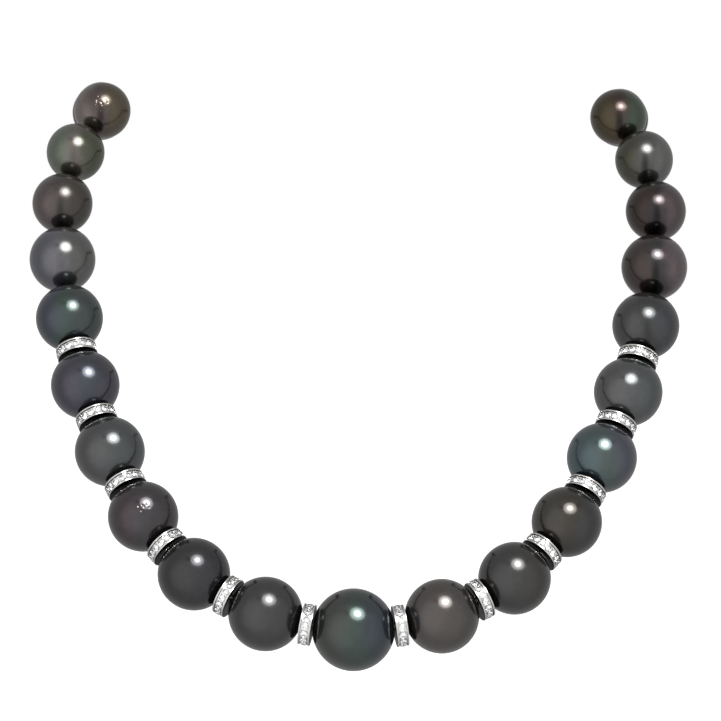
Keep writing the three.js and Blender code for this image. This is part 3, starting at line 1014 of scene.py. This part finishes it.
def eased(value, start, end):
    """0 before start and 1 after end, with a smooth way between. start may be the larger one."""
    made = tree.nodes.new("ShaderNodeMapRange")
    made.interpolation_type = "SMOOTHSTEP"
    made.inputs["From Min"].default_value = start
    made.inputs["From Max"].default_value = end
    tree.links.new(value, made.inputs["Value"])
    return made.outputs["Result"]


def lobe(toward, width):
    """1 towards a direction and 0 further than width degrees from it."""
    dot = node(tree, "ShaderNodeVectorMath", operation="DOT_PRODUCT")
    tree.links.new(direction, dot.inputs[0])
    dot.inputs[1].default_value = Vector(toward).normalized()
    return eased(dot.outputs["Value"], math.cos(math.radians(width)), 1.0)


def band(value, low, high, soft):
    """1 where a value lies between two limits, with soft edges."""
    rise, fall = eased(value, low - soft, low + soft), eased(value, high - soft, high + soft)
    return math_node(tree, "MULTIPLY", rise, math_node(tree, "SUBTRACT", 1.0, fall))


# What the strand reflects, by direction: a dim tent that brightens towards the camera's side, with a soft
# panel on each side of it.
REAR = 0.38
GRADIENTS = ((0.95, 0.3, 0.17), (0.25, -0.6, 0.25))  # from one Y of the direction to another, and how much
PANEL_WIDTH = 62
PANELS = (((-0.45, -0.9, 0.0), 0.4), ((0.45, -0.9, 0.0), 0.1))
# Two darker places in the tent's front, the opening for the camera and a seam over it: from one X to another,
# from one Z to another, how soft that edge is, and how much darker.
DARK_PLACES = (((-0.2, 0.24), (-0.5, 0.6), 0.2, 0.14), ((-0.32, 0.5), (0.74, 0.84), 0.05, 0.92))
DARK_SIDE_SOFTNESS = 0.2

tent = REAR
glows = [(eased(split.outputs["Y"], begin, full), amount) for begin, full, amount in GRADIENTS]
glows += [(lobe(toward, PANEL_WIDTH), amount) for toward, amount in PANELS]
for glow, amount in glows:
    tent = math_node(tree, "ADD", tent, math_node(tree, "MULTIPLY", glow, amount))
darkness = []
for (x_low, x_high), (z_low, z_high), z_soft, amount in DARK_PLACES:
    place = math_node(tree, "MULTIPLY", band(split.outputs["X"], x_low, x_high, DARK_SIDE_SOFTNESS),
                      band(split.outputs["Z"], z_low, z_high, z_soft))
    darkness.append(math_node(tree, "MULTIPLY", place, amount))
in_front = eased(split.outputs["Y"], 0.1, -0.3)
dark = math_node(tree, "MULTIPLY", in_front, math_node(tree, "MAXIMUM", *darkness))
tent = math_node(tree, "MULTIPLY", tent, math_node(tree, "SUBTRACT", 1.0, dark))

# The camera itself sees plain white.
mixer = tree.nodes.new("ShaderNodeMix")
tree.links.new(tree.nodes.new("ShaderNodeLightPath").outputs["Is Camera Ray"], mixer.inputs["Factor"])
tree.links.new(tent, mixer.inputs["A"])
mixer.inputs["B"].default_value = 1.0
background = tree.nodes.new("ShaderNodeBackground")
background.inputs["Color"].default_value = (1, 1, 1, 1)
tree.links.new(mixer.outputs["Result"], background.inputs["Strength"])
output = tree.nodes.new("ShaderNodeOutputWorld")
tree.links.new(background.outputs[0], output.inputs["Surface"])

# A wide, pale floor well below the strand, which shows no reflection in the pearls.
FLOOR_DROP = 0.25
FLOOR_REACH = 6.0
FLOOR_GLOW = 0.6
floor_mesh = bpy.data.meshes.new("floor")
floor_z = cad_box[0].z - FLOOR_DROP
corners = [(FLOOR_REACH * x, FLOOR_REACH * y, floor_z) for x, y in ((-1, -1), (1, -1), (1, 1), (-1, 1))]
floor_mesh.from_pydata(corners, [], [(0, 1, 2, 3)])
floor = bpy.data.objects.new("floor", floor_mesh)
bpy.context.scene.collection.objects.link(floor)
floor_look, floor_tree, floor_shader = new_material("pale_floor")
paper = noise_node(floor_tree, object_coordinates(floor_tree), 40, 3.0)
floor_tree.links.new(ramp(floor_tree, paper, [(0.3, 0.93), (0.7, 0.95)]), floor_shader.inputs["Base Color"])
floor_shader.inputs["Roughness"].default_value = 0.9
floor_shader.inputs["Specular IOR Level"].default_value = 0.0
floor_shader.inputs["Emission Color"].default_value = (1, 1, 1, 1)
floor_shader.inputs["Emission Strength"].default_value = FLOOR_GLOW
floor_mesh.materials.append(floor_look)
floor.visible_glossy = False

bpy.context.scene.view_settings.view_transform = "Standard"

# ---- Camera, as solved from the outlines of the pearls in the photograph ----
CAMERA_AT = (0.00065, -1.02124, 0.01788)
LOOK_DOWN = math.radians(3.736)
ROLL = math.radians(0.741)

camera_data = bpy.data.cameras.new("camera")
camera_data.sensor_width = 36
camera_data.lens = 257.88
camera_data.clip_start = 0.05
camera_data.clip_end = 20
camera = bpy.data.objects.new("camera", camera_data)
camera.matrix_world = (Matrix.Translation(CAMERA_AT) @ Matrix.Rotation(math.pi / 2 - LOOK_DOWN, 4, "X")
                       @ Matrix.Rotation(ROLL, 4, "Z"))
bpy.context.scene.collection.objects.link(camera)
bpy.context.scene.camera = camera
